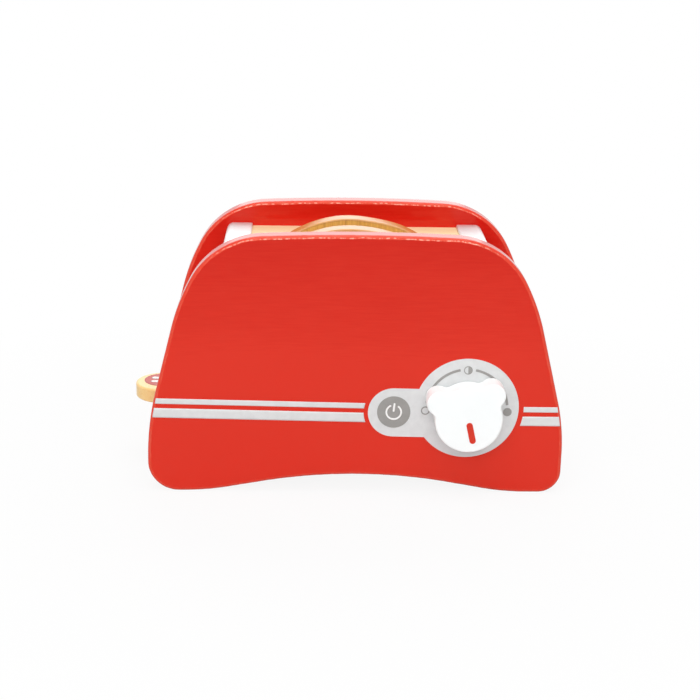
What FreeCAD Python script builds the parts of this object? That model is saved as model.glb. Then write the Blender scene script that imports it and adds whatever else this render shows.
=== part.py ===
"""Wooden toy toaster, built as separate pieces. Millimetres.

Drawing frame: X to the right seen from the front, Y from the front panel to the rear
panel, Z up. Z = 0 is the floor, X = 0 and Y = 0 are the middle of the housing. Each
piece is then saved with X = 0 and Y = 0 under the middle of the whole toaster, so that
the lever and the knob count too.
"""
import FreeCAD
import Part
import math
import os

V = FreeCAD.Vector

# ---- housing -------------------------------------------------------------------------
INNER_DEPTH = 78.0          # between the two panels
PANEL_T = 12.0              # panel stock
PANEL_ROUND = 2.2           # rounded panel edges
# half outline of a panel: (x, z, corner radius), from the crown to the arch
PANEL_HALF = [
    (0.0, 154.20, 1180.0),  # crown
    (82.31, 150.50, 47.5),  # shoulder
    (102.02, 111.04, 124.0),
    (119.91, 40.09, 184.0),  # flare
    (119.91, 0.0, 14.9),    # outer foot corner
    (86.44, 0.0, 143.4),    # inner foot corner
    (0.0, 15.46, 309.3),    # arch under the middle
]

WALL_T = 15.0               # end wall, measured along X
WALL_TOP = 139.0
WALL_INNER_X = 61.9         # inner face at the top
WALL_SLOPE = 0.252          # both walls lean out like the panel sides
WALL_ROUND = 3.2            # outer top edge
WALL_ROUND_IN = 1.3         # inner top edge

DECK_TOP = 137.3
DECK_T = 10.0
BOTTOM_Z = 12.0
BOTTOM_T = 8.0

# ---- bread slices and their slots ----------------------------------------------------
SLICE_T = 11.0
SLICE_W = 100.0
SLICE_X = -1.0
SLICE_PITCH = 25.0
SLICE_TOP = 149.6
SLICE_DOME_R = 72.0
SLICE_CORNER_R = 10.0
SLICE_FOOT_R = 6.0
SLICE_ROUND = 0.6
SLOT_PLAY = 1.5             # each side of a slice, across the slot
SLOT_END_PLAY = 3.0
SLOT_CORNER_R = 2.0
SLOT_CHAMFER = 1.0

# ---- lift ----------------------------------------------------------------------------
LIFT_TRAVEL = 45.0
LEVER_TOP = 49.9
LEVER_T = 8.7
LEVER_DISC_X = -114.8
LEVER_DISC_R = 16.3
LEVER_NECK_W = 24.0
LEVER_NECK_END_X = -22.0
LEVER_ROUND = 1.2
LIFT_T = 8.0
LIFT_HALF_X = 57.0
LIFT_HALF_Y = 27.0
LIFT_CORNER_R = 5.0
REST_GAP = 0.3              # between faces of pieces that move apart
GUIDE_D = 6.0
GUIDE_X = 46.0
GUIDE_SINK = 4.0            # depth of the blind holes for the guide rods
RUN_CLEARANCE = 0.08        # radial, rod or axle in its bore
NECK_HOLE_D = 9.0
LEVER_SLOT_PLAY = 0.6
LEVER_SLOT_HEAD = 2.0       # left above the raised lever
LEVER_SLOT_R = 1.5

# ---- knob ----------------------------------------------------------------------------
DIAL_X = 63.1
DIAL_Z = 52.5
KNOB_T = 13.0
KNOB_TURN = 8.8             # degrees, as it stands
KNOB_BODY_R = 19.3
KNOB_BODY_DROP = 2.85       # body circle centre below the axle
KNOB_BODY_LEFT = 0.3        # and to the left of it, the bore is a little off centre
KNOB_LOBE_R = 7.15
KNOB_LOBE_DIST = 19.6       # from the body circle centre
KNOB_LOBE_ANGLE = 51.5      # from straight up
KNOB_BLEND_R = 4.1
KNOB_ROUND = 1.0
POINTER_W = 3.6
POINTER_R0 = 4.05
POINTER_R1 = 16.95
POINTER_LEAN = 4.2          # degrees, the printed pill is a little askew on the knob
AXLE_D = 8.0
AXLE_IN_KNOB = 6.5
WASHER_D = 16.0
WASHER_T = 1.2
KNOB_SCREW_D = 3.5
KNOB_SCREW_HEAD_D = 7.5
KNOB_SCREW_HEAD_T = 2.4
KNOB_SCREW_LEN = 14.0

# ---- printed layers ------------------------------------------------------------------
PRINT = 0.20                # base layer on the panel
PRINT_TOP = 0.15            # second layer
PRINT_TILT = -0.95          # degrees, the whole print is a little askew
RING_R = 29.9
RING_DROP = 0.25            # ring centre below the dial's axis
RING_RIGHT = 0.1            # and to the right of it
PILL_X = 21.15
PILL_Z = 49.4
PILL_R = 14.65
POWER_R = 9.55
POWER_X = 21.3
POWER_Z = 49.73
SYMBOL_R = 4.25
SYMBOL_STROKE = 1.0
SYMBOL_GAP = 34.0           # half opening of the symbol, degrees
SYMBOL_LEAN = 2.6           # degrees, clockwise seen from the front
STEM_W = 1.1
STEM_TOP = 5.45             # above the symbol circle's centre
STEM_LOW = 0.5
SCALE_R = 23.25
SCALE_STROKE = 1.2
ARC_RIGHT_DEG = (5.0, 79.0)  # grey arcs, from +X towards +Z
ARC_LEFT_DEG = (101.0, 170.0)
UP_DEG = 90.0
FULL_TURN_DEG = 360.0
DOT_R = 2.5
DOT_STROKE = 0.6
DOT_SIDE_X = 23.6           # side dots from the dial's centre
DOT_DROP = 2.0              # and below it
DOT_TOP_RISE = 22.75        # top dot above the dial's centre
STRIPE_WIDTHS = (3.5, 5.95)
STRIPE_GAP = 2.35
STRIPE_LEFT_X = 5.0         # near the pill
STRIPE_LEFT_Z = 54.97       # top of the upper stripe there
STRIPE_LEFT_CLEAR = 2.3     # from the pill to the stripes' round-cut ends
STRIPE_RIGHT_X = 95.5       # near the ring
STRIPE_RIGHT_Z = 53.3
STRIPE_RIGHT_CLEAR = 2.8    # from the ring
STRIPE_RIGHT_TILT = -0.2
BADGE_R = 11.8
BADGE_X = LEVER_DISC_X + 0.3
BADGE_Y = 2.0               # printed a little off the disc's centre
BADGE_BAR_L = 15.0
BADGE_BAR_W = 3.5
BADGE_BAR_Y = 3.2           # from the badge's centre

# ---- fasteners -----------------------------------------------------------------------
PANEL_DOWEL_D = 8.0
PANEL_DOWEL_L = 24.0
PANEL_DOWEL_IN_PANEL = 8.0
PANEL_DOWEL_Z = [34.0, 76.0, 116.0]
DECK_DOWEL_D = 6.0
DECK_DOWEL_L = 20.0
DECK_DOWEL_Y = 29.0
WOOD_SCREW_D = 3.8
WOOD_SCREW_HEAD_D = 7.6
WOOD_SCREW_L = 22.0
BOTTOM_SCREW_Y = 12.0
LEVER_SCREW_X = [-35.5, -27.5]
LEVER_SCREW_L = 14.5
RECESS_ARM = 0.30           # of the screw head
RECESS_W = 0.9
RECESS_DEPTH = 0.9

# ---- worked out from the above -------------------------------------------------------
INNER_Y = INNER_DEPTH / 2.0
OUTER_Y = INNER_Y + PANEL_T
LIFT_Z = LEVER_TOP
SLICE_FOOT = LIFT_Z + LIFT_T + REST_GAP
SLICE_Y = SLICE_PITCH / 2.0
SLOT_HALF_X = SLICE_W / 2.0 + SLOT_END_PLAY
SLOT_HALF_Y = SLICE_T / 2.0 + SLOT_PLAY
DECK_Z = DECK_TOP - DECK_T
BOTTOM_TOP = BOTTOM_Z + BOTTOM_T
FACE_Y = -OUTER_Y
KNOB_BACK = FACE_Y - PRINT - PRINT_TOP - REST_GAP
KNOB_FRONT = KNOB_BACK - KNOB_T
PANEL_HALF_X = max(x for x, _, _ in PANEL_HALF)
MIDDLE_X = (PANEL_HALF_X + LEVER_DISC_X - LEVER_DISC_R) / 2.0
MIDDLE_Y = (OUTER_Y + KNOB_FRONT - PRINT) / 2.0


def wall_inner(z):
    return WALL_INNER_X + WALL_SLOPE * (WALL_TOP - z)


def rounded_wire(corners, lift):
    """Closed wire through (u, v, radius) corners, each corner an arc. lift maps (u, v)."""
    n = len(corners)
    edges = []
    last = None
    first = None
    for i in range(n):
        ax, ay, _ = corners[i - 1]
        bx, by, r = corners[i]
        cx, cy, _ = corners[(i + 1) % n]
        la = math.hypot(ax - bx, ay - by)
        lc = math.hypot(cx - bx, cy - by)
        ua = ((ax - bx) / la, (ay - by) / la)
        uc = ((cx - bx) / lc, (cy - by) / lc)
        half = math.acos(max(-1.0, min(1.0, ua[0] * uc[0] + ua[1] * uc[1]))) / 2.0
        if r <= 0.0:
            start = end = (bx, by)
            mid = None
        else:
            t = r / math.tan(half)
            start = (bx + ua[0] * t, by + ua[1] * t)
            end = (bx + uc[0] * t, by + uc[1] * t)
            mx, my = ua[0] + uc[0], ua[1] + uc[1]
            m = math.hypot(mx, my)
            d = r / math.sin(half) - r
            mid = (bx + mx / m * d, by + my / m * d)
        if last is not None:
            edges.append(Part.LineSegment(lift(*last), lift(*start)).toShape())
        else:
            first = start
        if mid is not None:
            edges.append(Part.Arc(lift(*start), lift(*mid), lift(*end)).toShape())
        last = end
    edges.append(Part.LineSegment(lift(*last), lift(*first)).toShape())
    return Part.Wire(edges)


def xz(y):
    return lambda u, v: V(u, y, v)


def xy(z):
    return lambda u, v: V(u, v, z)


def yz(x):
    return lambda u, v: V(x, u, v)


def prism(corners, lift, along):
    return Part.Face(rounded_wire(corners, lift)).extrude(along)


def box(x0, x1, y0, y1, z0, z1):
    return Part.makeBox(x1 - x0, y1 - y0, z1 - z0, V(x0, y0, z0))


def rod(d, length, start, along):
    return Part.makeCylinder(d / 2.0, length, start, along)


def round_edges(shape, radius, wanted):
    edges = [e for e in shape.Edges if wanted(e)]
    return shape.makeFillet(radius, edges)


def on_plane(axis, value):
    """True for an edge that lies wholly in the plane axis = value."""
    def wanted(edge):
        b = edge.BoundBox
        lo = getattr(b, axis + "Min")
        hi = getattr(b, axis + "Max")
        return abs(lo - value) < 0.02 and abs(hi - value) < 0.02
    return wanted


# ---- panels --------------------------------------------------------------------------
def panel_corners():
    """Whole outline: the half outline and its mirror image."""
    return PANEL_HALF + [(-x, z, r) for x, z, r in reversed(PANEL_HALF[1:-1])]


def panel(y0):
    body = prism(panel_corners(), xz(y0), V(0, PANEL_T, 0))
    ends = (y0, y0 + PANEL_T)
    body = round_edges(body, PANEL_ROUND,
                       lambda e: any(on_plane("Y", y)(e) for y in ends))
    for dowel in panel_dowels(1 if y0 > 0 else -1):
        body = body.cut(dowel)
    return body


def panel_dowels(side):
    start_y = side * (INNER_Y + PANEL_DOWEL_IN_PANEL)
    made = []
    for hand in (-1, 1):
        for z in PANEL_DOWEL_Z:
            x = hand * (wall_inner(z) + WALL_T / 2.0)
            made.append(rod(PANEL_DOWEL_D, PANEL_DOWEL_L, V(x, start_y, z), V(0, -side, 0)))
    return made


def axle_bore():
    return rod(AXLE_D + 2 * RUN_CLEARANCE, 3 * PANEL_T,
               V(DIAL_X, FACE_Y - PANEL_T, DIAL_Z), V(0, 1, 0))


# ---- end walls, deck and bottom ------------------------------------------------------
def end_wall(hand):
    top_in = hand * wall_inner(WALL_TOP)
    top_out = hand * (wall_inner(WALL_TOP) + WALL_T)
    low_in = hand * wall_inner(BOTTOM_TOP)
    low_out = hand * (wall_inner(BOTTOM_TOP) + WALL_T)
    corners = [
        (top_in, WALL_TOP, WALL_ROUND_IN),
        (top_out, WALL_TOP, WALL_ROUND),
        (low_out, BOTTOM_TOP, 0.0),
        (low_in, BOTTOM_TOP, 0.0),
    ]
    wall = prism(corners, xz(-INNER_Y), V(0, INNER_DEPTH, 0))
    if hand < 0:
        wall = wall.cut(lever_slot())
    for tool in panel_dowels(-1) + panel_dowels(1) + deck_dowels() + bottom_screws(False):
        wall = wall.cut(tool)
    return wall


def lever_slot():
    half = LEVER_NECK_W / 2.0 + LEVER_SLOT_PLAY
    low = LEVER_TOP - LEVER_T - REST_GAP
    high = LEVER_TOP + LIFT_TRAVEL + LEVER_SLOT_HEAD
    r = LEVER_SLOT_R
    corners = [(-half, low, r), (half, low, r), (half, high, r), (-half, high, r)]
    reach = wall_inner(0.0) + WALL_T
    return prism(corners, yz(-reach), V(reach - LIFT_HALF_X, 0, 0))


def deck():
    low = wall_inner(DECK_Z)
    high = wall_inner(DECK_TOP)
    corners = [(-high, DECK_TOP, 0), (high, DECK_TOP, 0), (low, DECK_Z, 0), (-low, DECK_Z, 0)]
    body = prism(corners, xz(-INNER_Y), V(0, INNER_DEPTH, 0))
    left, right = SLICE_X - SLOT_HALF_X, SLICE_X + SLOT_HALF_X
    for side in (-1, 1):
        y = side * SLICE_Y
        r = SLOT_CORNER_R
        lo, hi = y - SLOT_HALF_Y, y + SLOT_HALF_Y
        hole = [(left, lo, r), (right, lo, r), (right, hi, r), (left, hi, r)]
        body = body.cut(prism(hole, xy(DECK_Z), V(0, 0, DECK_T)))

    rim_y = SLICE_Y + SLOT_HALF_Y + SLOT_CHAMFER
    rim_x = SLOT_HALF_X + abs(SLICE_X) + SLOT_CHAMFER

    def slot_rim(edge):
        b = edge.BoundBox
        across = max(abs(b.YMin), abs(b.YMax)) < rim_y
        return on_plane("Z", DECK_TOP)(edge) and across and max(-b.XMin, b.XMax) < rim_x
    body = body.makeChamfer(SLOT_CHAMFER, [e for e in body.Edges if slot_rim(e)])
    for tool in deck_dowels() + guide_rods():
        body = body.cut(tool)
    return body


def deck_dowels():
    z = DECK_TOP - DECK_T / 2.0
    x = wall_inner(z) - DECK_DOWEL_L / 2.0
    made = []
    for hand in (-1, 1):
        for side in (-1, 1):
            made.append(rod(DECK_DOWEL_D, DECK_DOWEL_L,
                            V(hand * x, side * DECK_DOWEL_Y, z), V(hand, 0, 0)))
    return made


def bottom_board():
    low = wall_inner(BOTTOM_Z) + WALL_T
    high = wall_inner(BOTTOM_TOP) + WALL_T
    corners = [(-high, BOTTOM_TOP, 0), (high, BOTTOM_TOP, 0), (low, BOTTOM_Z, 0),
               (-low, BOTTOM_Z, 0)]
    body = prism(corners, xz(-INNER_Y), V(0, INNER_DEPTH, 0))
    for tool in bottom_screws(False) + guide_rods():
        body = body.cut(tool)
    return body


# ---- screws --------------------------------------------------------------------------
def countersunk_screw(x, y, z, d, head_d, length, recess=True):
    """Screw driven straight up, head flush with the plane Z = z."""
    depth = (head_d - d) / 2.0
    tip = 0.8 * d
    head = Part.makeCone(head_d / 2.0, d / 2.0, depth, V(x, y, z), V(0, 0, 1))
    shank = rod(d, length - depth - tip, V(x, y, z + depth), V(0, 0, 1))
    point = Part.makeCone(d / 2.0, 0.1 * d, tip, V(x, y, z + length - tip), V(0, 0, 1))
    screw = head.fuse(shank).fuse(point)
    if recess:
        screw = screw.cut(cross_recess(V(x, y, z), "Z", head_d))
    return screw


def cross_recess(at, axis, head_d):
    """Cross-shaped tool for a screw head, centred on the head's face."""
    arm = head_d * RECESS_ARM
    half = RECESS_W / 2.0
    deep = RECESS_DEPTH
    if axis == "Z":
        a = box(at.x - arm, at.x + arm, at.y - half, at.y + half, at.z - deep, at.z + deep)
        b = box(at.x - half, at.x + half, at.y - arm, at.y + arm, at.z - deep, at.z + deep)
    else:
        a = box(at.x - arm, at.x + arm, at.y - deep, at.y + deep, at.z - half, at.z + half)
        b = box(at.x - half, at.x + half, at.y - deep, at.y + deep, at.z - arm, at.z + arm)
    return a.fuse(b)


def bottom_screw_places():
    x = wall_inner(BOTTOM_TOP) + WALL_T / 2.0
    return [(h * x, s * BOTTOM_SCREW_Y) for h in (-1, 1) for s in (-1, 1)]


def bottom_screws(recess):
    return [countersunk_screw(x, y, BOTTOM_Z, WOOD_SCREW_D, WOOD_SCREW_HEAD_D,
                              WOOD_SCREW_L, recess) for x, y in bottom_screw_places()]


def lever_screws(recess):
    return [countersunk_screw(x, 0.0, LEVER_TOP - LEVER_T, WOOD_SCREW_D,
                              WOOD_SCREW_HEAD_D, LEVER_SCREW_L, recess)
            for x in LEVER_SCREW_X]


# ---- lift ----------------------------------------------------------------------------
def guide_rods():
    low = BOTTOM_TOP - GUIDE_SINK
    high = DECK_Z + GUIDE_SINK
    return [rod(GUIDE_D, high - low, V(h * GUIDE_X, 0, low), V(0, 0, 1)) for h in (-1, 1)]


def guide_bores(d):
    low = LEVER_TOP - 2 * LEVER_T
    high = LIFT_Z + 2 * LIFT_T
    return [rod(d, high - low, V(h * GUIDE_X, 0, low), V(0, 0, 1)) for h in (-1, 1)]


def lift_board():
    a, b, r = LIFT_HALF_X, LIFT_HALF_Y, LIFT_CORNER_R
    body = prism([(-a, -b, r), (a, -b, r), (a, b, r), (-a, b, r)], xy(LIFT_Z), V(0, 0, LIFT_T))
    for tool in guide_bores(GUIDE_D + 2 * RUN_CLEARANCE) + lever_screws(False):
        body = body.cut(tool)
    return body


def lever_handle():
    low = LEVER_TOP - LEVER_T
    half = LEVER_NECK_W / 2.0
    disc = rod(2 * LEVER_DISC_R, LEVER_T, V(LEVER_DISC_X, 0, low), V(0, 0, 1))
    r = LIFT_CORNER_R
    neck = prism([(LEVER_DISC_X, -half, 0), (LEVER_NECK_END_X, -half, r),
                  (LEVER_NECK_END_X, half, r), (LEVER_DISC_X, half, 0)],
                 xy(low), V(0, 0, LEVER_T))
    body = disc.fuse(neck).removeSplitter()
    body = round_edges(body, LEVER_ROUND,
                       lambda e: on_plane("Z", low)(e) or on_plane("Z", LEVER_TOP)(e))
    body = body.cut(guide_bores(NECK_HOLE_D)[0])
    for tool in lever_screws(False):
        body = body.cut(tool)
    return body


def badge_disc():
    return rod(2 * BADGE_R, PRINT, V(BADGE_X, BADGE_Y, LEVER_TOP), V(0, 0, 1))


def badge_bars():
    a, r = BADGE_BAR_L / 2.0, BADGE_BAR_W / 2.0 - 0.02
    made = []
    for side in (-1, 1):
        x, y = BADGE_X, BADGE_Y + side * BADGE_BAR_Y
        w = BADGE_BAR_W / 2.0
        corners = [(x - a, y - w, r), (x + a, y - w, r), (x + a, y + w, r), (x - a, y + w, r)]
        made.append(prism(corners, xy(LEVER_TOP + PRINT), V(0, 0, PRINT_TOP)))
    return made


def bread_slice(side):
    y0 = side * SLICE_Y - SLICE_T / 2.0
    body = Part.Face(slice_wire(y0)).extrude(V(0, SLICE_T, 0))
    ends = (y0, y0 + SLICE_T)
    return round_edges(body, SLICE_ROUND,
                       lambda e: any(on_plane("Y", y)(e) for y in ends))


def slice_wire(y):
    """Bread outline: flat foot, straight sides, shoulder arcs and a domed top."""
    half = SLICE_W / 2.0
    rc, rf, big = SLICE_CORNER_R, SLICE_FOOT_R, SLICE_DOME_R
    foot_mid = rf * (1.0 - math.sqrt(0.5))
    cz = SLICE_TOP - big
    sx = half - rc
    # shoulder circle of radius rc, inside the dome circle and touching the side
    sz = cz + math.sqrt((big - rc) ** 2 - sx ** 2)
    ang = math.atan2(sz - cz, sx)
    tx, tz = big * math.cos(ang), cz + big * math.sin(ang)
    mid = ang / 2.0
    p = xz(y)
    k = SLICE_X
    edges = [
        Part.Arc(p(k - tx, tz), p(k, SLICE_TOP), p(k + tx, tz)),
        Part.Arc(p(k + tx, tz), p(k + sx + rc * math.cos(mid), sz + rc * math.sin(mid)),
                 p(k + half, sz)),
        Part.LineSegment(p(k + half, sz), p(k + half, SLICE_FOOT + rf)),
        Part.Arc(p(k + half, SLICE_FOOT + rf),
                 p(k + half - foot_mid, SLICE_FOOT + foot_mid),
                 p(k + half - rf, SLICE_FOOT)),
        Part.LineSegment(p(k + half - rf, SLICE_FOOT), p(k - half + rf, SLICE_FOOT)),
        Part.Arc(p(k - half + rf, SLICE_FOOT),
                 p(k - half + foot_mid, SLICE_FOOT + foot_mid),
                 p(k - half, SLICE_FOOT + rf)),
        Part.LineSegment(p(k - half, SLICE_FOOT + rf), p(k - half, sz)),
        Part.Arc(p(k - half, sz), p(k - sx - rc * math.cos(mid), sz + rc * math.sin(mid)),
                 p(k - tx, tz)),
    ]
    return Part.Wire([e.toShape() for e in edges])


# ---- knob ----------------------------------------------------------------------------
def dial_turn(shape, degrees):
    """Turn about the dial axis, counter-clockwise seen from the front."""
    shape.rotate(V(DIAL_X, 0, DIAL_Z), V(0, -1, 0), degrees)
    return shape


def knob_wire(y):
    """Body circle with two lobes, joined by small hollow arcs."""
    big, small, blend = KNOB_BODY_R, KNOB_LOBE_R, KNOB_BLEND_R
    bx, bz = DIAL_X - KNOB_BODY_LEFT, DIAL_Z - KNOB_BODY_DROP
    a = math.radians(KNOB_LOBE_ANGLE)
    # angle at the body centre between the lobe and each blend circle
    p, q, c = big + blend, KNOB_LOBE_DIST, small + blend
    off = math.acos((p * p + q * q - c * c) / (2 * p * q))
    lx, lz = q * math.sin(a), q * math.cos(a)

    def polar(angle, r):
        return (r * math.sin(angle), r * math.cos(angle))

    def toward(ax, az, bx, bzz, r):
        d = math.hypot(bx - ax, bzz - az)
        return (ax + (bx - ax) / d * r, az + (bzz - az) / d * r)

    def mirror(pt):
        return (-pt[0], pt[1])

    top = polar(a - off, p)
    low = polar(a + off, p)
    top_body, low_body = polar(a - off, big), polar(a + off, big)
    top_lobe = toward(lx, lz, top[0], top[1], small)
    low_lobe = toward(lx, lz, low[0], low[1], small)
    lobe_mid = polar(a, q + small)
    top_mid = toward(top[0], top[1], (top_body[0] + top_lobe[0]) / 2,
                     (top_body[1] + top_lobe[1]) / 2, blend)
    low_mid = toward(low[0], low[1], (low_body[0] + low_lobe[0]) / 2,
                     (low_body[1] + low_lobe[1]) / 2, blend)
    half = [(top_body, top_mid, top_lobe), (top_lobe, lobe_mid, low_lobe),
            (low_lobe, low_mid, low_body)]
    arcs = [(mirror(top_body), (0.0, big), top_body)] + half
    arcs.append((low_body, (0.0, -big), mirror(low_body)))
    arcs += [(mirror(e), mirror(m), mirror(s)) for s, m, e in reversed(half)]
    edges = []
    for trio in arcs:
        points = [V(bx + u, y, bz + v) for u, v in trio]
        edges.append(Part.Arc(*points).toShape())
    return Part.Wire(edges)


def knob():
    body = Part.Face(knob_wire(KNOB_FRONT)).extrude(V(0, KNOB_T, 0))
    body = round_edges(body, KNOB_ROUND,
                       lambda e: on_plane("Y", KNOB_FRONT)(e) or on_plane("Y", KNOB_BACK)(e))
    body = body.cut(axle_blank())
    return dial_turn(body, KNOB_TURN)


def axle_blank():
    length = AXLE_IN_KNOB + (-INNER_Y + REST_GAP - KNOB_BACK)
    return rod(AXLE_D, length, V(DIAL_X, KNOB_BACK - AXLE_IN_KNOB, DIAL_Z), V(0, 1, 0))


def knob_axle():
    return axle_blank().cut(knob_screw_shank())


def knob_screw_shank():
    y = -INNER_Y + REST_GAP + WASHER_T
    return rod(KNOB_SCREW_D, KNOB_SCREW_LEN, V(DIAL_X, y, DIAL_Z), V(0, -1, 0))


def knob_washer():
    disc = rod(WASHER_D, WASHER_T, V(DIAL_X, -INNER_Y + REST_GAP, DIAL_Z), V(0, 1, 0))
    return disc.cut(knob_screw_shank())


def knob_screw():
    y = -INNER_Y + REST_GAP + WASHER_T
    head = rod(KNOB_SCREW_HEAD_D, KNOB_SCREW_HEAD_T, V(DIAL_X, y, DIAL_Z), V(0, 1, 0))
    head = round_edges(head, KNOB_SCREW_HEAD_T / 3.0, on_plane("Y", y + KNOB_SCREW_HEAD_T))
    recess = cross_recess(V(DIAL_X, y + KNOB_SCREW_HEAD_T, DIAL_Z), "Y", KNOB_SCREW_HEAD_D)
    return head.fuse(knob_screw_shank()).cut(recess)


def knob_pointer():
    w = POINTER_W / 2.0
    r = w - 0.02
    hi, lo = DIAL_Z - POINTER_R0, DIAL_Z - POINTER_R1
    corners = [(DIAL_X - w, hi, r), (DIAL_X + w, hi, r), (DIAL_X + w, lo, r),
               (DIAL_X - w, lo, r)]
    shape = prism(corners, xz(KNOB_FRONT - PRINT), V(0, PRINT, 0))
    shape.rotate(V(DIAL_X, 0, (hi + lo) / 2.0), V(0, -1, 0), POINTER_LEAN)
    return dial_turn(shape, KNOB_TURN)


# ---- printed layers ------------------------------------------------------------------
def flat_area():
    """Prism over the flat part of the panel's front face."""
    outline = rounded_wire(panel_corners(), xz(FACE_Y - PANEL_T))
    inner = Part.Face(outline).makeOffset2D(-PANEL_ROUND)
    return inner.extrude(V(0, 2 * PANEL_T, 0))


def layer(face, level, thickness):
    """Extrude a face drawn at Y = 0 into a printed layer at the given level."""
    placed = face.copy()
    placed.translate(V(0, FACE_Y - level, 0))
    return placed.extrude(V(0, -thickness, 0))


def disc_face(x, z, r):
    return Part.Face(Part.Wire(Part.Circle(V(x, 0, z), V(0, -1, 0), r).toShape()))


def band_face(x, z, r, stroke, a0, a1):
    """Part of a ring with square ends, angles in degrees from +X towards +Z."""
    ro, ri = r + stroke / 2.0, r - stroke / 2.0

    def at(radius, deg):
        t = math.radians(deg)
        return V(x + radius * math.cos(t), 0, z + radius * math.sin(t))
    mid = (a0 + a1) / 2.0
    edges = [Part.Arc(at(ro, a0), at(ro, mid), at(ro, a1)).toShape(),
             Part.LineSegment(at(ro, a1), at(ri, a1)).toShape(),
             Part.Arc(at(ri, a1), at(ri, mid), at(ri, a0)).toShape(),
             Part.LineSegment(at(ri, a0), at(ro, a0)).toShape()]
    return Part.Face(Part.Wire(edges))


def control_print():
    """Ring disc and pill, joined by a straight band along the print's tilt."""
    ring = layer(disc_face(DIAL_X + RING_RIGHT, DIAL_Z - RING_DROP, RING_R), 0.0, PRINT)
    lobe = layer(disc_face(PILL_X, PILL_Z, PILL_R), 0.0, PRINT)
    a = math.radians(PRINT_TILT)
    nx, nz = -math.sin(a) * PILL_R, math.cos(a) * PILL_R
    reach = DIAL_X - RING_R / 2.0 - PILL_X
    ex, ez = PILL_X + reach * math.cos(a), PILL_Z + reach * math.sin(a)
    corners = [(PILL_X + nx, PILL_Z + nz, 0), (ex + nx, ez + nz, 0),
               (ex - nx, ez - nz, 0), (PILL_X - nx, PILL_Z - nz, 0)]
    band = prism(corners, xz(FACE_Y - PRINT), V(0, PRINT, 0))
    body = ring.fuse(lobe).fuse(band).removeSplitter()
    return body.cut(axle_bore())


def power_print():
    return layer(disc_face(POWER_X, POWER_Z, POWER_R), PRINT, PRINT_TOP)


def symbol_print():
    """Open circle and a short stem, on top of the power button's disc."""
    x, z = POWER_X, POWER_Z
    level = PRINT + PRINT_TOP
    open_ring = layer(band_face(x, z, SYMBOL_R, SYMBOL_STROKE, UP_DEG + SYMBOL_GAP,
                                UP_DEG + FULL_TURN_DEG - SYMBOL_GAP), level, PRINT_TOP)
    w = STEM_W / 2.0
    r = 0.8 * w
    corners = [(x - w, z + STEM_TOP, r), (x + w, z + STEM_TOP, r),
               (x + w, z + STEM_LOW, r), (x - w, z + STEM_LOW, r)]
    stem = prism(corners, xz(FACE_Y - level - PRINT_TOP), V(0, PRINT_TOP, 0))
    for shape in (open_ring, stem):
        shape.rotate(V(x, 0, z), V(0, -1, 0), -SYMBOL_LEAN)
    return [open_ring, stem]


def scale_print():
    """Two grey arcs, an open dot at the left, a half dot on top, a full dot at the right."""
    made = []
    for a0, a1 in (ARC_RIGHT_DEG, ARC_LEFT_DEG):
        made.append(layer(band_face(DIAL_X, DIAL_Z, SCALE_R, SCALE_STROKE, a0, a1),
                          PRINT, PRINT_TOP))
    line_r = DOT_R - DOT_STROKE / 2.0
    side_z = DIAL_Z - DOT_DROP
    side_x = DIAL_X - DOT_SIDE_X
    top_z = DIAL_Z + DOT_TOP_RISE
    outer = layer(disc_face(side_x, side_z, DOT_R), PRINT, PRINT_TOP)
    inner = layer(disc_face(side_x, side_z, DOT_R - DOT_STROKE), PRINT, PRINT_TOP)
    made.append(outer.cut(inner))
    made.append(layer(band_face(DIAL_X, top_z, line_r, DOT_STROKE, UP_DEG,
                                UP_DEG + FULL_TURN_DEG / 2.0), PRINT, PRINT_TOP))
    half = [Part.Arc(V(DIAL_X, 0, top_z - DOT_R), V(DIAL_X + DOT_R, 0, top_z),
                     V(DIAL_X, 0, top_z + DOT_R)).toShape(),
            Part.LineSegment(V(DIAL_X, 0, top_z + DOT_R), V(DIAL_X, 0, top_z - DOT_R)).toShape()]
    made.append(layer(Part.Face(Part.Wire(half)), PRINT, PRINT_TOP))
    made.append(layer(disc_face(DIAL_X + DOT_SIDE_X, side_z, DOT_R), PRINT, PRINT_TOP))
    return made


def stripe_prints(hand):
    """Thin stripe over a thick one, from a round-cut end out to the rounded panel edge."""
    if hand < 0:
        x, z, degrees = STRIPE_LEFT_X, STRIPE_LEFT_Z, PRINT_TILT
        start_x = PILL_X
        clear = disc_face(PILL_X, PILL_Z, PILL_R + STRIPE_LEFT_CLEAR)
    else:
        x, z, degrees = STRIPE_RIGHT_X, STRIPE_RIGHT_Z, STRIPE_RIGHT_TILT
        start_x = DIAL_X
        clear = disc_face(DIAL_X, DIAL_Z, RING_R + STRIPE_RIGHT_CLEAR)
    slope = math.tan(math.radians(degrees))
    end_x = hand * PANEL_HALF_X
    start_z = z + slope * (start_x - x)
    end_z = z + slope * (end_x - x)
    keep = flat_area().cut(layer(clear, -PANEL_T, 2 * PANEL_T))
    made = []
    drop = 0.0
    for width in STRIPE_WIDTHS:
        corners = [(start_x, start_z - drop, 0), (end_x, end_z - drop, 0),
                   (end_x, end_z - drop - width, 0), (start_x, start_z - drop - width, 0)]
        bar = prism(corners, xz(FACE_Y - PRINT), V(0, PRINT, 0))
        made.append(bar.common(keep))
        drop += width + STRIPE_GAP
    return made


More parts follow.
